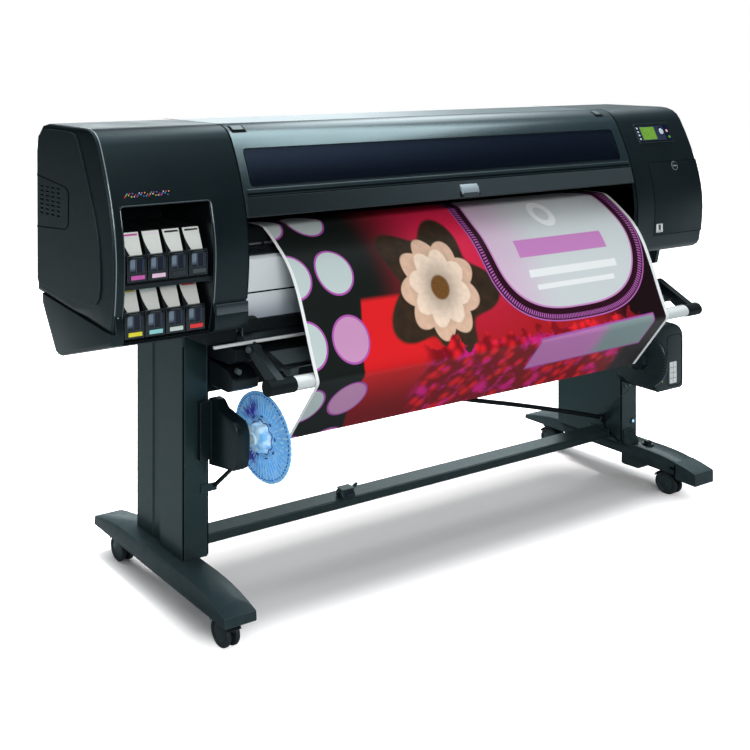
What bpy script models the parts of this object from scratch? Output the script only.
"""A large-format inkjet printer on a castored stand, with an ink bay, a paper loop bar and a take-up reel.

Metres, +Z up, +X to the printer's right-hand side as its operator faces it, -Y towards the operator.
The origin is on the floor, under the middle of the machine. Each sub-part is one closed solid with its own
material.
"""

import math

import bmesh
import bpy
from mathutils import Matrix, Vector

GAP = 0.0003  # clearance between neighbouring solids

# body envelope
BODY_LEFT, BODY_RIGHT = -1.230, 1.230
CENTRE_LEFT, CENTRE_RIGHT = -0.8030, 0.8560  # the window and platen zone lies between these
BODY_TOP = 1.370
BODY_BACK = 0.180
FRONT_DEEPEST = 0.2515  # how far the front bulges ahead of the origin plane
BULGE_Z = 1.030  # height of the fullest point of the front
SHELL = 0.012  # wall of the moulded covers
END_CAP = 0.0115  # thickness of the left end cover

# stand
LEG_X = (-0.856, 1.066)
COLUMN_HALF = 0.043
COLUMN_FRONT, COLUMN_REAR = -0.0755, 0.1915
COLUMN_TOP = (0.7990, 0.8690)
FOOT_HALF_WIDTH = 0.0515
FOOT_REACH = 0.3625
FOOT_BOTTOM, FOOT_TIP_TOP, FOOT_TOP = 0.0830, 0.1110, 0.1400
FOOT_OUTSET = 0.034  # each foot's middle lies this far outside its column's
RIGHT_FOOT_STEP = 0.012  # the right foot's underside is this much higher behind the column's front

# casters
WHEEL_R = 0.038
CASTER_TRAIL = 0.018
CASTER_SPOTS = {"front_left": (-0.890, -0.244), "rear_left": (-0.890, 0.2915),
                "front_right": (1.085, -0.197), "rear_right": (1.100, 0.2915)}  # swivel axes

# ink bay
BAY_X = (-1.1950, -0.9150)
BAY_Z = (0.8260, 1.1780)
BAY_BACK = 0.020
ROW_BASE = (0.9800, 0.8320)
ROW_FRONT = (-0.2430, -0.2300)
SLOT_PITCH, DRAWER_WIDTH, DRAWER_HEIGHT = 0.063, 0.060, 0.072
SLOTS_PER_ROW = 4

# window, door and panel on the curved front
WINDOW_BOTTOM = 1.1225
PANE_X, PANE_Z = (-0.7720, 0.8100), (1.2050, 1.3030)
DOOR_X, DOOR_Z = (0.9520, 1.2297), (0.9340, 1.1840)
DOOR_DEPTH = 0.0150
PANEL_X, PANEL_Z = (0.9400, 1.1330), (1.2520, 1.3170)

# paper path
SHEET_X = (-0.6660, 0.8550)
SHEET_HALF = 0.0005
LOOP_CENTRE = (-0.3400, 0.6900)
LOOP_R = 0.0195
LOOP_WRAP = 0.0220  # radius of the sheet's middle around the loop bar
LOOP_PIVOT = (-0.2310, 0.7610)
REEL_AXIS = (-0.1770, 0.4920)
SUPPLY_AXIS = (0.2620, 0.9300)
RIGHT_EAR_X = 0.8850

COLOURS = {
    "cover": (0.018, 0.022, 0.026), "cover_light": (0.035, 0.045, 0.050), "stand": (0.030, 0.040, 0.044),
    "black": (0.008, 0.009, 0.010), "rubber": (0.012, 0.012, 0.013), "smoke": (0.012, 0.018, 0.035),
    "silver": (0.50, 0.54, 0.56), "white": (0.78, 0.79, 0.76), "panel": (0.012, 0.022, 0.060),
    "key": (0.55, 0.62, 0.68), "blue": (0.16, 0.46, 0.82), "paper": (0.55, 0.06, 0.10),
    "glossy_grey": (0.62, 0.65, 0.68), "green": (0.10, 0.30, 0.06),
    "pink": (0.75, 0.45, 0.50),
}


def front_y(z):
    """Y of the moulded front at height z, up to where the top edge starts to round over."""
    return -FRONT_DEEPEST + 0.69 * max(0.0, z - BULGE_Z) ** 1.77 + 0.60 * max(0.0, BULGE_Z - z) ** 2


def front_points(low, high, inset, steps):
    """Points up the front, from height low to high, moved back by inset."""
    heights = [low + (high - low) * i / steps for i in range(steps + 1)]
    return [(front_y(z) + inset, z) for z in heights]


def bend(start, control, end, steps):
    """Quadratic curve from start to end, without its first point."""
    out = []
    for i in range(1, steps + 1):
        t = i / steps
        out.append(tuple(a * (1 - t) ** 2 + 2 * c * t * (1 - t) + e * t * t
                         for a, c, e in zip(start, control, end)))
    return out


def hood_points(low, inset, front_steps=9):
    """Up the front from height low, over the rounded top edge and back along the top to the rear edge."""
    shoulder = 1.330 - inset * 0.5
    points = front_points(low, shoulder, inset, front_steps)
    top = BODY_TOP - inset
    points += bend(points[-1], (points[-1][0] + 0.020, top), (-0.100 + inset * 0.5, top), 4)
    points.append((0.120, top))
    points += bend((0.120, top), (BODY_BACK - inset - 0.004, top), (BODY_BACK - inset, 1.310), 3)
    return points


def arc(centre, radius, start, end, steps):
    """Points on a circle in degrees, both ends included."""
    angles = [math.radians(start + (end - start) * i / steps) for i in range(steps + 1)]
    return [(centre[0] + radius * math.cos(a), centre[1] + radius * math.sin(a)) for a in angles]


def collection(name):
    made = bpy.data.collections.new(name)
    bpy.context.scene.collection.children.link(made)
    return made


for old in list(bpy.data.objects):
    bpy.data.objects.remove(old)
PARTS = collection("wide_format_printer")
CUTTERS = collection("cutters")


def material(name, key, roughness, metallic=0.0):
    made = bpy.data.materials.new(name)
    made.use_nodes = True
    shader = made.node_tree.nodes["Principled BSDF"]
    shader.inputs["Base Color"].default_value = (*COLOURS[key], 1.0)
    shader.inputs["Roughness"].default_value = roughness
    shader.inputs["Metallic"].default_value = metallic
    return made


def face_outwards(bm):
    bmesh.ops.recalc_face_normals(bm, faces=bm.faces)
    if bm.calc_volume(signed=True) < 0:
        bmesh.ops.reverse_faces(bm, faces=bm.faces)


def place(name, bm, look, pivot=(0, 0, 0)):
    """A named part from world-space mesh data, with its origin at pivot."""
    bmesh.ops.translate(bm, verts=bm.verts, vec=-Vector(pivot))
    face_outwards(bm)
    mesh = bpy.data.meshes.new(name)
    bm.to_mesh(mesh)
    bm.free()
    mesh.shade_smooth()
    mesh.set_sharp_from_angle(angle=math.radians(32))
    made = bpy.data.objects.new(name, mesh)
    made.location = pivot
    key, roughness, *metallic = look
    mesh.materials.append(material(name, key, roughness, *metallic))
    PARTS.objects.link(made)
    return made


def helper(name, bm):
    """A cutter or a piece to be joined: not a part of its own."""
    face_outwards(bm)
    mesh = bpy.data.meshes.new(name)
    bm.to_mesh(mesh)
    bm.free()
    made = bpy.data.objects.new(name, mesh)
    made.hide_render = True
    made.display_type = "WIRE"
    CUTTERS.objects.link(made)
    return made


def combine(part, operation, *helpers):
    for other in helpers:
        step = part.modifiers.new(other.name, "BOOLEAN")
        step.operation = operation
        step.object = other


def prism(outline, axis, low, high, round_low=0.0, round_high=0.0, segments=2):
    """An outline drawn in the two other axes (in X, Y, Z order) and extruded along axis from low to high."""
    order = {"X": lambda a, b: (low, a, b), "Y": lambda a, b: (a, low, b), "Z": lambda a, b: (a, b, low)}[axis]
    along = Vector([high - low if axis == letter else 0 for letter in "XYZ"])
    bm = bmesh.new()
    base = bm.faces.new([bm.verts.new(order(a, b)) for a, b in outline])
    near_edges = list(base.edges)
    grown = bmesh.ops.extrude_face_region(bm, geom=[base], use_keep_orig=True)["geom"]
    far_edges = [g for g in grown if isinstance(g, bmesh.types.BMEdge)]
    bmesh.ops.translate(bm, verts=[g for g in grown if isinstance(g, bmesh.types.BMVert)], vec=along)
    for edges, width in ((near_edges, round_low), (far_edges, round_high)):
        if width:
            bmesh.ops.bevel(bm, geom=edges, offset=width, segments=segments, profile=0.5,
                            affect="EDGES")
    return bm


def block(low, high):
    """A box between two corners."""
    bm = bmesh.new()
    bmesh.ops.create_cube(bm, size=1.0)
    low, high = Vector(low), Vector(high)
    bmesh.ops.scale(bm, verts=bm.verts, vec=high - low)
    bmesh.ops.translate(bm, verts=bm.verts, vec=(low + high) / 2)
    return bm


def rod(start, end, radius, sides=16):
    """A round bar between two points."""
    start, end = Vector(start), Vector(end)
    turn = (end - start).to_track_quat("Z", "Y").to_matrix().to_4x4()
    bm = bmesh.new()
    bmesh.ops.create_cone(bm, cap_ends=True, segments=sides, radius1=radius, radius2=radius,
                          depth=(end - start).length, matrix=Matrix.Translation((start + end) / 2) @ turn)
    return bm


def turned(name, profile, look, location, steps=32):
    """A part turned about a line along X through location: profile is (radius, x), right end first."""
    mesh = bpy.data.meshes.new(name)
    points = [(r, 0.0, x) for r, x in profile]
    mesh.from_pydata(points, [(i, i + 1) for i in range(len(points) - 1)], [])
    made = bpy.data.objects.new(name, mesh)
    made.location = location
    made.rotation_euler = (0, math.pi / 2, 0)
    screw = made.modifiers.new("turn", "SCREW")
    screw.steps = screw.render_steps = steps
    screw.use_merge_vertices = True
    screw.merge_threshold = 0.00001
    screw.use_smooth_shade = True
    key, roughness, *metallic = look
    mesh.materials.append(material(name, key, roughness, *metallic))
    PARTS.objects.link(made)
    return made


# ---------------------------------------------------------------- stand


def foot(name, centre_x, step_height):
    """A long low foot with an arched top; step_height lifts the underside behind the column's front."""
    half_top = 0.155
    outline = [(-FOOT_REACH + 0.035, FOOT_BOTTOM), (-0.075, FOOT_BOTTOM), (-0.070, FOOT_BOTTOM + step_height),
               (FOOT_REACH - 0.002, FOOT_BOTTOM + step_height)]
    outline.append((FOOT_REACH, FOOT_BOTTOM + step_height + 0.003))
    outline.append((FOOT_REACH - 0.002, FOOT_TIP_TOP))
    outline += bend(outline[-1], (FOOT_REACH - 0.110, FOOT_TOP), (half_top + 0.030, FOOT_TOP), 5)
    outline.append((-half_top, FOOT_TOP))
    front_tip = (-FOOT_REACH + 0.033, FOOT_TIP_TOP)
    outline += bend(outline[-1], (-FOOT_REACH + 0.120, FOOT_TOP), front_tip, 5)
    outline.append((-FOOT_REACH + 0.031, FOOT_BOTTOM + 0.003))
    bm = prism(outline, "X", centre_x - FOOT_HALF_WIDTH, centre_x + FOOT_HALF_WIDTH, 0.004, 0.004)
    place(name, bm, ("stand", 0.45))


def column(name, centre_x, outer, top):
    """A leg of two telescoped box sections: the front one is wider on the outer side, then a groove."""
    wide, narrow = COLUMN_HALF, COLUMN_HALF - 0.010
    groove_y = 0.045
    side = [(wide, COLUMN_FRONT + 0.004), (wide, groove_y), (narrow - 0.004, groove_y + 0.004),
            (narrow - 0.004, groove_y + 0.050), (narrow, groove_y + 0.056), (narrow, COLUMN_REAR - 0.004),
            (narrow - 0.004, COLUMN_REAR)]
    outline = [(centre_x + outer * (wide - 0.004), COLUMN_FRONT)]
    outline += [(centre_x + outer * a, b) for a, b in side]
    corner = wide - 0.004
    outline += [(centre_x - outer * corner, COLUMN_REAR), (centre_x - outer * wide, COLUMN_REAR - 0.004),
                (centre_x - outer * wide, COLUMN_FRONT + 0.004), (centre_x - outer * corner, COLUMN_FRONT)]
    place(name, prism(outline, "Z", FOOT_TOP + GAP, top), ("stand", 0.5))


def crossbar():
    front, rear = -0.0245, 0.0435
    low, high = 0.1444, 0.1712
    outline = [(front + 0.002, low), (rear - 0.002, low), (rear, low + 0.002), (rear, high - 0.003),
               (rear - 0.003, high), (front + 0.006, high), (front + 0.005, high - 0.002),
               (front + 0.003, high - 0.002), (front, high - 0.005), (front, low + 0.002)]
    inner = (LEG_X[0] + COLUMN_HALF + GAP, LEG_X[1] - COLUMN_HALF - GAP)
    place("crossbar", prism(outline, "X", *inner), ("stand", 0.4))
    sensor_x, sensor_width, base = -0.262, 0.052, high + GAP
    top = base + 0.026
    outline = [(-0.024, base), (0.012, base), (0.012, top - 0.008), (0.004, top), (-0.012, top)]
    sensor = prism(outline, "X", sensor_x, sensor_x + sensor_width, 0.003, 0.003)
    place("loop_sensor", sensor, ("cover_light", 0.4))


def caster(spot, x, y, plate_top):
    """A twin-wheel swivel caster: the fork's origin is on its swivel axis, the wheels' on their axle."""
    axle_r, bore_r, plate_r = 0.0050, 0.0056, 0.019
    web_half, web_r, guard_r, guard_half = 0.006, 0.042, 0.0405, 0.0235
    axle = Vector((x, y - CASTER_TRAIL, WHEEL_R))
    yz = (axle.y, axle.z)
    web = arc(yz, 0.0120, 200, 340, 6) + arc(yz, web_r, 20, 160, 9)
    middle = prism(web, "X", x - web_half, x + web_half)
    fork = place("caster_fork_" + spot, middle, ("black", 0.5), (x, y, WHEEL_R))
    guard = arc(yz, guard_r, 25, 155, 9) + arc(yz, guard_r + 0.003, 155, 25, 9)
    hood = helper("hood_" + spot, prism(guard, "X", x - guard_half, x + guard_half))
    plate = helper("plate_" + spot, rod((x, y, 0.0765), (x, y, plate_top), plate_r))
    combine(fork, "UNION", hood, plate)
    reach = Vector((0.02, 0, 0))
    combine(fork, "DIFFERENCE", helper("axle_bore_" + spot, rod(axle - reach, axle + reach, bore_r, 12)))
    side, tread_edge, inner = 0.0225, 0.0195, 0.0070
    profile = [(0.0, 0.0210), (0.029, 0.0205), (0.031, side), (WHEEL_R - 0.003, side), (WHEEL_R, tread_edge),
               (WHEEL_R, inner + 0.0015), (WHEEL_R - 0.001, inner), (axle_r, inner)]
    profile += [(r, -h) for r, h in reversed(profile)]
    turned("caster_wheel_" + spot, profile, ("rubber", 0.6), axle, 20)


def stand():
    foot("left_foot", LEG_X[0] - FOOT_OUTSET, 0.0)
    foot("right_foot", LEG_X[1] + FOOT_OUTSET, RIGHT_FOOT_STEP)
    column("left_column", LEG_X[0], -1, COLUMN_TOP[0])
    column("right_column", LEG_X[1], 1, COLUMN_TOP[1])
    crossbar()
    for spot, (x, y) in CASTER_SPOTS.items():
        step = RIGHT_FOOT_STEP if spot == "rear_right" else 0.0
        caster(spot, x, y, FOOT_BOTTOM + step - GAP)


# ---------------------------------------------------------------- left end


def seam_z(y):
    """Height of the seam between the left end cover and the tub below it."""
    return 0.8600 + 0.0711 * (y + 0.2350)


def left_side_cover():
    """End cover: its outer face stops at a soft crease, and falls away in a shallow facet to the front."""
    crease_back, crease_rise = 0.0830, 0.0300
    bottom, top_bend, steps = 0.8605, 1.330, 10
    rings = []
    for x, inset, reach in ((BODY_LEFT + END_CAP, 0.0, 0.0), (BODY_LEFT + 0.0055, 0.0015, 0.04),
                            (BODY_LEFT + 0.0018, 0.0060, 0.55), (BODY_LEFT, 0.0150, 1.0)):
        front = []
        for i in range(steps + 1):
            z = bottom + (top_bend - bottom) * i / steps
            lift = 0.0275 * reach * max(0.0, 1 - i / 2)
            lean = crease_back + crease_rise * max(0.0, (z - 1.10) / 0.23) ** 2
            front.append((front_y(z) + inset * 0.3 + reach * lean, z + lift + inset * (1 - i / 5)))
        top = BODY_TOP - inset
        front += bend(front[-1], (front[-1][0] + 0.020, top), (-0.100 + reach * 0.060 + inset, top), 4)
        front.append((0.120 - inset, top))
        rear = BODY_BACK - inset
        front += bend((0.120 - inset, top), (rear - 0.004, top), (rear, 1.310 - inset), 3)
        front.append((rear, 1.100))
        front.append((rear, seam_z(BODY_BACK) + inset))
        front.append((-0.050, seam_z(-0.050) + inset))
        rings.append([(x, y, z) for y, z in front])
    bm = bmesh.new()
    loops = [[bm.verts.new(p) for p in ring] for ring in rings]
    count = len(loops[0])
    for near, far in zip(loops, loops[1:]):
        for i in range(count):
            j = (i + 1) % count
            bm.faces.new((near[i], near[j], far[j], far[i]))
    bm.faces.new(loops[0])
    bm.faces.new(loops[-1])
    place("left_side_cover", bm, ("cover", 0.4))


def left_hood():
    """Front, top and back cover of the left end, with a wall towards the window and the ink bay's mouth."""
    left, right = BODY_LEFT + END_CAP + GAP, CENTRE_LEFT - GAP
    outer = hood_points(0.9033, 0.0) + [(BODY_BACK, 0.8905)]
    hood = place("left_hood", prism(outer, "X", left, right, 0.004, 0.003), ("cover", 0.38))
    inner = hood_points(0.70, SHELL) + [(BODY_BACK - SHELL, 0.70)]
    mouth = block((BAY_X[0] - GAP, -0.35, BAY_Z[0] - 0.06), (BAY_X[1] + GAP, -0.05, BAY_Z[1] + GAP))
    combine(hood, "DIFFERENCE", helper("left_cavity", prism(inner, "X", left - 0.05, right - SHELL)),
            helper("bay_mouth", mouth))


def left_tub():
    """Deep tray under the left end: its underside falls towards the back, and the column runs up into it."""
    outline = [(-0.2410, 0.9030), (-0.2500, 0.8780), (-0.2500, 0.8420), (-0.2460, 0.8300), (-0.2350, 0.8250),
               (0.0300, 0.7370), (0.0500, 0.7360), (0.0660, 0.7420), (0.1220, 0.8210), (0.1480, 0.8600),
               (0.1500, 0.8902)]
    tub = place("left_tub", prism(outline, "X", BODY_LEFT, CENTRE_LEFT - GAP, 0.006, 0.003), ("cover", 0.42))
    above_seam = [(-0.30, seam_z(-0.30) - GAP), (0.25, seam_z(0.25) - GAP), (0.25, 1.0), (-0.30, 1.0)]
    lid = prism(above_seam, "X", BODY_LEFT - 0.05, BODY_LEFT + END_CAP + GAP)
    bay = block((BAY_X[0] - GAP, -0.35, BAY_Z[0] - GAP), (BAY_X[1] + GAP, BAY_BACK + GAP, 1.0))
    leg = block((LEG_X[0] - COLUMN_HALF - GAP, COLUMN_FRONT - GAP, 0.60),
                (LEG_X[0] + COLUMN_HALF + GAP, COLUMN_REAR + GAP, COLUMN_TOP[0] + GAP))
    combine(tub, "DIFFERENCE", helper("tub_lid", lid), helper("tub_bay", bay), helper("tub_leg", leg))


def ink_bay():
    """Open-fronted housing for two rows of ink drawers."""
    wall, rim = 0.003, 0.0015
    outline = front_points(BAY_Z[0], BAY_Z[1], rim, 8) + [(BAY_BACK, BAY_Z[1]), (BAY_BACK, BAY_Z[0])]
    bay = place("ink_bay", prism(outline, "X", *BAY_X), ("black", 0.35))
    inside_x = (BAY_X[0] + wall + 0.001, BAY_X[1] - wall - 0.001)
    shelf = (ROW_BASE[0] - 0.0150, ROW_BASE[0] - 0.0030)
    lower = block((inside_x[0], -0.35, BAY_Z[0] + wall), (inside_x[1], BAY_BACK - 0.010, shelf[0]))
    upper = block((inside_x[0], -0.35, shelf[1]), (inside_x[1], BAY_BACK - 0.010, BAY_Z[1] - wall))
    nose = block((inside_x[0], -0.35, shelf[0] - 0.01), (inside_x[1], ROW_FRONT[0] + 0.004, shelf[1] + 0.01))
    combine(bay, "DIFFERENCE", helper("bay_lower", lower), helper("bay_upper", upper),
            helper("bay_nose", nose))


def ink_slot(number, x, front, base):
    """A drawer with its front plate and floor, and the cartridge that stands in it."""
    back, plate, floor = -0.030, 0.0110, 0.0050
    high = base + DRAWER_HEIGHT
    chamfer, edge = 0.0045, 0.0018
    outline = [(front + chamfer, base), (back, base), (back, base + floor), (front + plate, base + floor),
               (front + plate, high), (front + chamfer, high), (front, high - chamfer), (front, base + chamfer)]
    origin = (x + DRAWER_WIDTH / 2, front, base)
    tray = prism(outline, "X", x, x + DRAWER_WIDTH, edge, edge, 1)
    place(f"ink_drawer_{number}", tray, ("black", 0.3), origin)
    face, foot_z, crown = front + plate + 0.001, base + floor + GAP, base + 0.127
    outline = [(face, foot_z), (back - 0.004, foot_z), (back - 0.004, crown), (face + 0.030, crown),
               (face + 0.027, crown - 0.003), (face, base + 0.055)]
    side_room = 0.004
    body = prism(outline, "X", x + side_room, x + DRAWER_WIDTH - side_room, 0.002, 0.002)
    place(f"ink_cartridge_{number}", body, ("white", 0.35), origin)


def ink_supply():
    first = BAY_X[0] + 0.013
    for row, (base, front) in enumerate(zip(ROW_BASE, ROW_FRONT)):
        for slot in range(SLOTS_PER_ROW):
            ink_slot(row * SLOTS_PER_ROW + slot + 1, first + slot * SLOT_PITCH, front, base)


# ---------------------------------------------------------------- middle


def top_cover():
    """Top and rear skin of the middle, with the left ear of the paper spindle."""
    hinge_y = -0.0978
    outer = [(hinge_y, BODY_TOP), (0.120, BODY_TOP)]
    outer += bend((0.120, BODY_TOP), (BODY_BACK - 0.004, BODY_TOP), (BODY_BACK, 1.310), 3)
    outer.append((BODY_BACK, 0.800))
    thick = 0.014
    inner = [(BODY_BACK - thick, 0.800), (BODY_BACK - thick, 1.310), (BODY_BACK - thick - 0.008, 1.345),
             (0.120, BODY_TOP - thick), (hinge_y, BODY_TOP - thick)]
    left, right = CENTRE_LEFT + GAP, CENTRE_RIGHT - GAP
    cover = place("top_cover", prism(outer + inner, "X", left, right), ("cover_light", 0.4))
    combine(cover, "UNION", helper("ear_left", prism(spindle_ear(), "X", left + 0.002, left + 0.020)))


def spindle_ear():
    """Side view of an ear that carries one end of the paper spindle."""
    y, z = SUPPLY_AXIS
    root = BODY_BACK - 0.002
    return [(root, z - 0.070)] + arc((y, z), 0.030, -100, 100, 6) + [(root, z + 0.070)]


def supply_roll():
    """Spindle with its two hubs and the fresh roll of paper behind the machine."""
    left, right = CENTRE_LEFT + 0.0230, RIGHT_EAR_X - 0.0010
    ends, hub = (SHEET_X[0] - 0.004, SHEET_X[1] + 0.004), 0.078
    middle = (left + right) / 2
    profile = [(0.0, right), (0.014, right), (0.014, ends[1] + 0.014), (hub, ends[1] + 0.014), (hub, ends[1]),
               (0.068, ends[1]), (0.068, ends[0]), (hub, ends[0]), (hub, ends[0] - 0.014),
               (0.014, ends[0] - 0.014), (0.014, left), (0.0, left)]
    turned("supply_roll", [(r, x - middle) for r, x in profile], ("white", 0.7),
           (middle, SUPPLY_AXIS[0], SUPPLY_AXIS[1]), 28)


RAIL_Y, RAIL_Z = (-0.045, -0.010), (1.240, 1.270)


def chassis():
    """Inner frame: rear wall, platen and, standing forward of the wall, the rail the carriage runs on."""
    platen, wall, back, low, high = 1.072, RAIL_Y[1], 0.150, 0.800, 1.335
    outline = [(back, low), (back, high), (wall, high), (wall, platen), (-0.120, platen), (-0.135, 1.060),
               (-0.150, 1.030), (-0.165, 1.006), (-0.165, low)]
    frame = place("chassis", prism(outline, "X", CENTRE_LEFT + GAP, CENTRE_RIGHT - GAP), ("black", 0.5))
    rail = block((CENTRE_LEFT + 0.004, RAIL_Y[0], RAIL_Z[0]), (1.205, RAIL_Y[1] + 0.02, RAIL_Z[1]))
    combine(frame, "UNION", helper("carriage_rail", rail))


def output_guide():
    """Glossy panel that the printed sheet slides down in front of, with a ribbed black foot below it."""
    outline = [(-0.1658, 0.8003), (-0.1658, 1.0060), (-0.1760, 1.0060), (-0.1900, 0.9960), (-0.1920, 0.9600),
               (-0.1915, 0.9072), (-0.1895, 0.9060), (-0.1915, 0.9048), (-0.1900, 0.8120), (-0.1860, 0.8003)]
    place("output_guide", prism(outline, "X", CENTRE_LEFT + GAP, CENTRE_RIGHT - GAP), ("glossy_grey", 0.15))


def under_tray():
    """Beam under the platen with the ears that carry the loop bar's arms."""
    outline = [(-0.2020, 0.7680), (-0.0800, 0.7600), (-0.0770, 0.7640), (-0.0770, 0.7995), (-0.1880, 0.7995),
               (-0.1960, 0.7850), (-0.2030, 0.7750), (-0.2040, 0.7710)]
    left, right = -0.780, 1.010
    tray = place("under_tray", prism(outline, "X", left, right, 0.002, 0.002), ("black", 0.35))
    y, z = LOOP_PIVOT
    ear = arc((y, z), 0.0110, 100, 260, 6) + [(-0.200, z - 0.004), (-0.190, 0.772), (-0.205, 0.776)]
    for side, (low, high) in (("left", (-0.7600, -0.7520)), ("right", (0.9820, 0.9900))):
        combine(tray, "UNION", helper("loop_ear_" + side, prism(ear, "X", low, high)))


def print_carriage():
    """Carriage that carries the print heads along the rail, parked at the service end."""
    width, parked_x, low, high = 0.170, 1.040, 1.088, 1.294
    rear_y, rest_z = RAIL_Y[0] - 0.0004, RAIL_Z[1] + 0.0004  # clearance behind the body and above the rail
    hook_y = RAIL_Y[1] - 0.004
    face = [(-0.186, low), (-0.190, low + 0.004), (-0.194, low + 0.012), (-0.194, 1.150), (-0.176, 1.250),
            (-0.158, 1.288), (-0.148, high)]
    outline = face + [(hook_y, high), (hook_y, rest_z), (rear_y, rest_z), (rear_y, RAIL_Z[0] - 0.0406),
                      (rear_y - 0.006, low)]
    bm = prism(outline, "X", parked_x - width / 2, parked_x + width / 2, 0.003, 0.003)
    place("print_carriage", bm, ("black", 0.4), (parked_x, rear_y, RAIL_Z[0]))


WINDOW_HINGE = (-0.0985, BODY_TOP - 0.0003)


def window():
    """Front cover that lifts about its top edge, with a smoked pane and a finger tab."""
    skin = 0.010
    pivot = (0.0, *WINDOW_HINGE)
    outer = front_points(WINDOW_BOTTOM, 1.330, 0.0, 8)
    outer += bend(outer[-1], (outer[-1][0] + 0.020, BODY_TOP), (-0.100, BODY_TOP - 0.0001), 4)
    inner = [(-0.100, BODY_TOP - skin), (-0.140, BODY_TOP - skin - 0.010)]
    inner += list(reversed(front_points(WINDOW_BOTTOM, 1.320, skin, 8)))
    left, right = CENTRE_LEFT + 2 * GAP, CENTRE_RIGHT - 2 * GAP
    bm = prism(outer + inner, "X", left, right, 0.002, 0.002, 1)
    frame = place("window_frame", bm, ("cover_light", 0.35), pivot)
    hole = block((PANE_X[0], -0.30, PANE_Z[0]), (PANE_X[1], 0.0, PANE_Z[1]))
    combine(frame, "DIFFERENCE", helper("pane_hole", hole))
    low, high = PANE_Z[0] + GAP, PANE_Z[1] - GAP
    glass = front_points(low, high, 0.0015, 6) + list(reversed(front_points(low, high, 0.0065, 6)))
    place("window_pane", prism(glass, "X", PANE_X[0] + GAP, PANE_X[1] - GAP), ("smoke", 0.08), pivot)
    x, half_width, low, high = 0.051, 0.037, 1.1300, 1.1640
    back = [(front_y(z) - 0.0006, z) for z in (high, 1.1530, 1.1415, low)]
    face = [(back[3][0] - 0.0060, low - 0.0030), (back[2][0] - 0.0085, 1.1420), (back[1][0] - 0.0080, 1.1560),
            (back[0][0] - 0.0030, high + 0.0010)]
    tab = prism(back + face, "X", x - half_width, x + half_width, 0.0015, 0.0015)
    place("window_handle", tab, ("silver", 0.3), pivot)


def loop_bar():
    """Bar on two arms: it shapes the loop of paper, and swings back under the machine."""
    y, z = LOOP_CENTRE
    left, right = -0.8150, 1.0420
    pivot = (0.0, *LOOP_PIVOT)
    bar = place("loop_bar", rod((left, y, z), (right, y, z), LOOP_R, 20), ("white", 0.4), pivot)
    py, pz = LOOP_PIVOT
    lean = math.degrees(math.atan2(z - pz, y - py))
    arm = arc((py, pz), 0.0100, lean + 90, lean - 90, 6) + arc((y, z), 0.0165, lean - 90, lean + 90, 6)
    for side, (low, high) in (("left", (-0.7750, -0.7605)), ("right", (0.9905, 1.0050))):
        combine(bar, "UNION", helper("loop_arm_" + side, prism(arm, "X", low, high)))


def media_sheet():
    """The printed sheet: out over the platen, down in front of the guide and round the loop bar."""
    touch, leave, tail_length = 162.5, 213.3, 0.213  # degrees round the bar, and the free length after it
    wrap = arc(LOOP_CENTRE, LOOP_WRAP, touch, leave, 5)
    away = math.radians(leave)
    tail = [(wrap[-1][0] - math.sin(away) * s, wrap[-1][1] + math.cos(away) * s)
            for s in (tail_length / 2, tail_length)]
    path = [(-0.050, 1.0745), (-0.119, 1.0745), (-0.145, 1.0650), (-0.190, 1.0310), (-0.2380, 0.9860),
            (-0.2740, 0.9300), (-0.3060, 0.8500), (-0.3370, 0.7600)] + wrap + tail
    sides = ([], [])
    for i, point in enumerate(path):
        before, after = Vector(path[max(i - 1, 0)]), Vector(path[min(i + 1, len(path) - 1)])
        along = (after - before).normalized()
        normal = Vector((-along.y, along.x)) * SHEET_HALF
        sides[0].append(tuple(Vector(point) + normal))
        sides[1].append(tuple(Vector(point) - normal))
    place("media_sheet", prism(sides[0] + sides[1][::-1], "X", *SHEET_X), ("paper", 0.3))


# ---------------------------------------------------------------- right end


def right_housing():
    """Cover of the service end, open towards the middle, with openings for the door and the control panel."""
    left = CENTRE_RIGHT + GAP
    bottom = 0.8700
    corner_y, corner_top = -0.2080, 0.895
    lower = [(BODY_BACK, bottom), (corner_y, bottom)]
    lower += bend((corner_y, bottom), (-0.2290, bottom), (front_y(corner_top), corner_top), 3)
    outer = lower + hood_points(corner_top, 0.0)[1:]
    shell = prism(outer, "X", left, BODY_RIGHT, 0.003, 0.012, 3)
    housing = place("right_housing", shell, ("cover_light", 0.4))
    inner = [(BODY_BACK - SHELL, bottom + SHELL), (-0.200, bottom + SHELL)] + hood_points(0.900, SHELL)
    low, high, deep = DOOR_Z[0] - GAP, DOOR_Z[1] + GAP, DOOR_DEPTH + 0.0005
    doorway = front_points(low, high, -0.020, 6) + list(reversed(front_points(low, high, deep, 6)))
    room = 0.0004  # clearance round the panel
    panel_x = (PANEL_X[0] - room, PANEL_X[1] + room)
    ear = prism(spindle_ear(), "X", RIGHT_EAR_X, RIGHT_EAR_X + 0.018)
    combine(housing, "UNION", helper("ear_right", ear))
    combine(housing, "DIFFERENCE", helper("right_cavity", prism(inner, "X", left - 0.05, BODY_RIGHT - SHELL)),
            helper("doorway", prism(doorway, "X", DOOR_X[0] - GAP, BODY_RIGHT + 0.05)),
            helper("panel_cutout", prism(panel_outline(room, 0.020, 0.020), "X", *panel_x)))


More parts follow.
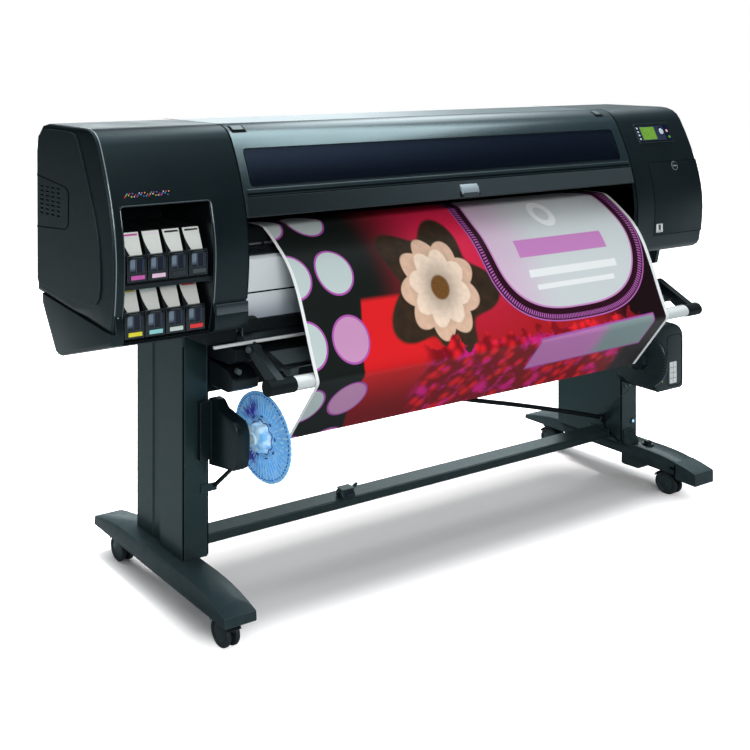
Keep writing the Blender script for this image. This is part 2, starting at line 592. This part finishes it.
def right_door():
    """Door over the service bay: it swings out and down about its bottom edge."""
    outline = front_points(*DOOR_Z, 0.0, 6) + list(reversed(front_points(*DOOR_Z, DOOR_DEPTH, 6)))
    hinge = (DOOR_X[0], front_y(DOOR_Z[0]), DOOR_Z[0])
    door = place("right_door", prism(outline, "X", *DOOR_X, 0.002, 0.005), ("cover_light", 0.4), hinge)
    x, z = 1.0942, 1.1690
    recess = rod((x, front_y(z) - 0.010, z), (x, front_y(z) + 0.0075, z), 0.0145, 20)
    combine(door, "DIFFERENCE", helper("latch_recess", recess))
    latch = rod((x, front_y(z) - 0.0010, z), (x, front_y(z) + 0.0070, z), 0.0135, 20)
    place("door_latch", latch, ("black", 0.25), hinge)


def panel_frame():
    """Outward normal of the control panel, its lower corner and its height, in the Y-Z plane."""
    low, high = Vector((front_y(PANEL_Z[0]), PANEL_Z[0])), Vector((front_y(PANEL_Z[1]), PANEL_Z[1]))
    along = (high - low).normalized()
    return Vector((-along.y, along.x)), low, along, (high - low).length


def panel_outline(grow, proud, deep):
    normal, low, along, length = panel_frame()
    corners = ((-grow, proud), (length + grow, proud), (length + grow, -deep), (-grow, -deep))
    return [tuple(low + along * s + normal * d) for s, d in corners]


def panel_point(x, z, depth):
    """A world point on the control panel at height z, depth above its chord."""
    normal, low, along, length = panel_frame()
    spot = low + along * ((z - low.y) / along.y) + normal * depth
    return Vector((x, spot.x, spot.y))


KEYS = {"soft_key_1": (0.9500, 1.3013, 0.0038), "soft_key_2": (0.9500, 1.2893, 0.0038),
        "soft_key_3": (0.9500, 1.2773, 0.0038), "soft_key_4": (0.9500, 1.2653, 0.0038),
        "nav_key": (1.0789, 1.2880, 0.0110), "back_key": (1.1115, 1.2890, 0.0050),
        "power_key": (1.1150, 1.2680, 0.0050)}  # X, height and radius of each key
KEY_LOOKS = {"nav_key": ("key", 0.25), "back_key": ("pink", 0.3), "power_key": ("green", 0.3)}
PANEL_PROUD, PANEL_DEEP = 0.0022, 0.0060
KEY_ROOM, KEY_RISE = 0.0004, 0.0012  # clearance round each key, and its height above the panel


def control_panel():
    """Tilted display and key panel. Each key stands in its own hole and travels inwards."""
    slab = prism(panel_outline(0.0, PANEL_PROUD, PANEL_DEEP), "X", *PANEL_X, 0.001, 0.001, 1)
    panel = place("control_panel", slab, ("panel", 0.2))
    for name, (x, z, radius) in KEYS.items():
        sides = 20 if radius > 0.006 else 12
        bore = rod(panel_point(x, z, -0.02), panel_point(x, z, 0.02), radius + KEY_ROOM, sides)
        combine(panel, "DIFFERENCE", helper("bore_" + name, bore))
        key = rod(panel_point(x, z, -PANEL_DEEP), panel_point(x, z, PANEL_PROUD + KEY_RISE), radius, sides)
        place(name, key, KEY_LOOKS.get(name, ("key", 0.3)), panel_point(x, z, 0.0))


# ---------------------------------------------------------------- take-up reel


def takeup_bracket():
    """Left bearing of the reel: a plate on the column's face, a forward arm and a brace."""
    front = COLUMN_FRONT - GAP
    arm_x = (LEG_X[0] + COLUMN_HALF + GAP, -0.7700)
    arm = [(front, 0.400), (front, 0.590), (-0.100, 0.588), (-0.120, 0.570), (-0.190, 0.556), (-0.206, 0.540),
           (-0.210, 0.520), (-0.210, 0.450), (-0.204, 0.430), (-0.190, 0.420)]
    bracket = place("takeup_bracket", prism(arm, "X", *arm_x, 0.003, 0.004), ("stand", 0.45))
    plate = block((-0.850, front - 0.014, 0.420), (arm_x[0] + 0.006, front, 0.585))
    brace = [(front, 0.330), (front, 0.342), (-0.165, 0.424), (-0.175, 0.424)]
    brace_bar = prism(brace, "X", -0.7980, -0.7860)
    combine(bracket, "UNION", helper("bracket_plate", plate), helper("brace", brace_bar))


def takeup_flange():
    """Ribbed side flange on its stub shaft."""
    disc_x, rim, shaft, shaft_end = -0.700, 0.125, 0.0115, -0.0690
    profile = [(0.0, 0.004), (0.034, 0.004), (0.036, 0.002), (rim - 0.005, 0.002), (rim, 0.001), (rim, -0.002),
               (rim - 0.005, -0.003), (0.052, -0.003), (0.046, -0.010), (0.040, -0.036), (0.024, -0.040),
               (shaft, -0.040), (shaft, shaft_end), (0.0, shaft_end)]
    turned("takeup_flange", profile, ("blue", 0.2), (disc_x, *REEL_AXIS), 40)


def takeup_drive():
    """Motor housing of the reel, in front of the right column, and the dark hub disc that it turns."""
    front, back = -0.2150, COLUMN_FRONT - GAP
    outline = [(0.9880, 0.4000), (1.0300, 0.3650), (1.1560, 0.3650), (1.1680, 0.3700), (1.1710, 0.3820),
               (1.1710, 0.5500)]
    outline += bend(outline[-1], (1.1700, 0.5850), (1.1200, 0.6000), 4) + [(1.0200, 0.6000), (0.9880, 0.5750)]
    drive = place("takeup_drive", prism(outline, "Y", front, back, 0.006, 0.001, 3), ("cover", 0.4))
    y, z = REEL_AXIS
    combine(drive, "DIFFERENCE", helper("drive_seat", rod((0.9, y, z), (0.992, y, z), 0.016, 20)))
    rim, shaft = 0.110, 0.0115
    profile = [(0.0, 0.016), (shaft, 0.016), (shaft, 0.004), (rim - 0.004, 0.004), (rim, 0.001), (rim, -0.006),
               (rim - 0.004, -0.010), (0.046, -0.013), (0.040, -0.030), (0.034, -0.034), (0.0, -0.034)]
    turned("takeup_hub", profile, ("black", 0.35), (0.9750, y, z), 32)


def main():
    stand()
    left_side_cover()
    left_hood()
    left_tub()
    ink_bay()
    ink_supply()
    top_cover()
    supply_roll()
    chassis()
    output_guide()
    under_tray()
    print_carriage()
    window()
    right_housing()
    right_door()
    control_panel()
    loop_bar()
    media_sheet()
    takeup_bracket()
    takeup_flange()
    takeup_drive()


main()
